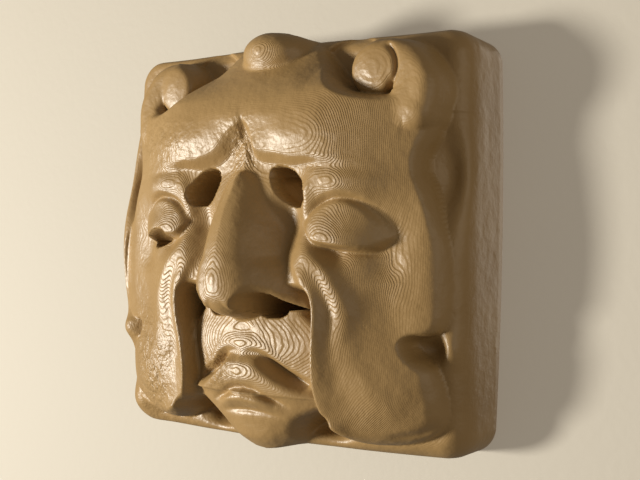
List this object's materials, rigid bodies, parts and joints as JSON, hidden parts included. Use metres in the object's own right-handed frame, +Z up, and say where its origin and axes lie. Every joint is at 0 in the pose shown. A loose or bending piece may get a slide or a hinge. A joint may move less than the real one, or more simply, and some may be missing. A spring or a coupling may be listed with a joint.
{
  "type": "carved face plaque",
  "caption": "Square wall plaque carved with a squared grotesque mask: scroll horns, heavy brow, closed lids, broad nose, pouting mouth and lobed cheeks on a rounded tile.",
  "frame": {"origin": "middle of the flat back face, which lies against the wall", "axes": "+X to the viewer's right, +Z up, +Y into the wall; the mask looks towards -Y"},
  "size_m": [0.102, 0.0474, 0.1025],
  "materials": {
    "printed_plastic": "satin khaki-gold printed plastic with fine layer lines"
  },
  "bodies": {
    "root": {"face_plaque": "printed_plastic"}
  },
  "joints": []
}
